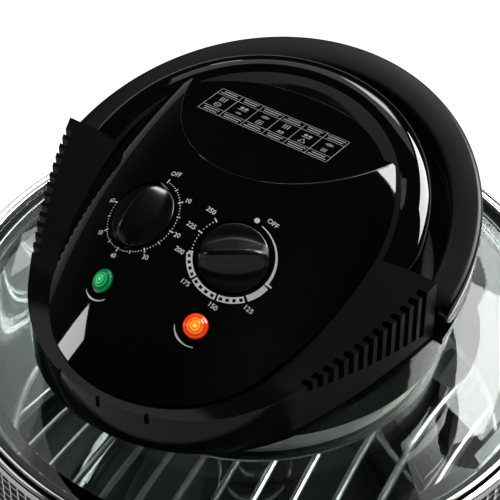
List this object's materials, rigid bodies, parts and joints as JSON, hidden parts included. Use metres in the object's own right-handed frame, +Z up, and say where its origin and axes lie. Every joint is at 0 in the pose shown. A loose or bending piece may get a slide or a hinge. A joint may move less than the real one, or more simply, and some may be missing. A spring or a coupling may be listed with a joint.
{
  "type": "halogen oven",
  "caption": "Countertop halogen oven: glass bowl in a guarded stand, hinged glass lid with a black control head, dials, lamps and carry handle.",
  "frame": {"origin": "middle of the plane that the four feet rest on, on the bowl's axis", "axes": "+Z up along the bowl's axis, front of the control panel towards -Y, +X to the right seen from the front"},
  "size_m": [0.425, 0.3665, 0.3459],
  "materials": {
    "black_gloss": "glossy",
    "black_satin": "satin",
    "knob_black": "satin",
    "bowl_glass": "clear",
    "bright_steel": "polished",
    "satin_steel": "satin",
    "reflector_steel": "satin",
    "screw_steel": "satin",
    "black_wire": "satin",
    "rubber": "matte",
    "green_lens": "glossy",
    "amber_lens": "glossy",
    "ceramic": "matte",
    "quartz": "clear",
    "white_plastic": "satin",
    "motor_paint": "satin"
  },
  "bodies": {
    "stand": {"feet": "rubber", "base_tray": "black_satin", "stand_posts": "black_satin", "support_ring": "black_satin", "rim_band": "bright_steel", "guard_mesh": "black_wire", "glass_bowl": "bowl_glass", "wire_rack": "satin_steel", "side_grip_left": "black_satin", "side_grip_right": "black_satin", "side_grip_screws": "screw_steel", "hinge_bracket": "black_satin", "hinge_bracket_screws": "screw_steel", "hinge_pin": "bright_steel"},
    "lid": {"lid_glass": "bowl_glass", "rim_gasket": "rubber", "lid_rim": "bright_steel", "lid_arm": "black_satin", "lid_arm_screws": "screw_steel", "collar": "satin_steel", "clamp_ring": "satin_steel", "clamp_spacers": "satin_steel", "clamp_screws": "screw_steel", "reflector": "reflector_steel", "halogen_tube": "quartz", "tube_holders": "ceramic", "fan_guard": "satin_steel", "lower_housing": "black_gloss", "upper_cover": "black_gloss", "control_dome": "black_gloss", "timer_unit": "white_plastic", "thermostat_unit": "white_plastic", "power_lens": "green_lens", "heat_lens": "amber_lens", "lamp_holders": "white_plastic", "motor": "motor_paint", "motor_bracket": "motor_paint", "handle_pivots": "black_satin", "cord_inlet": "black_satin"},
    "handle": {"handle_ring": "black_satin"},
    "timer": {"timer_knob": "knob_black"},
    "thermostat": {"thermostat_knob": "knob_black"},
    "rotor": {"motor_shaft": "satin_steel", "cooling_fan": "white_plastic", "convection_fan": "satin_steel"}
  },
  "joints": [
    {"name": "lid_hinge", "type": "hinge", "parent": "stand", "child": "lid", "pos_m": [0, 0.186, 0.2277], "axis": [-1, 0, 0], "range_deg": [0, 85]},
    {"name": "handle_swing", "type": "hinge", "parent": "lid", "child": "handle", "pos_m": [0, 0, 0.292], "axis": [1, 0, 0], "range_deg": [0, 75]},
    {"name": "timer_dial", "type": "hinge", "parent": "lid", "child": "timer", "pos_m": [-0.0282, -0.0616, 0.32743], "axis": [-0.2587, -0.4382, 0.8608], "range_deg": [-267, 0]},
    {"name": "thermostat_dial", "type": "hinge", "parent": "lid", "child": "thermostat", "pos_m": [0.0282, -0.0616, 0.32743], "axis": [0.2587, -0.4382, 0.8608], "range_deg": [-65, 239]},
    {"name": "fan_spin", "type": "hinge", "parent": "lid", "child": "rotor", "pos_m": [0, 0, 0.2217], "axis": [0, 0, 1], "continuous": true}
  ]
}
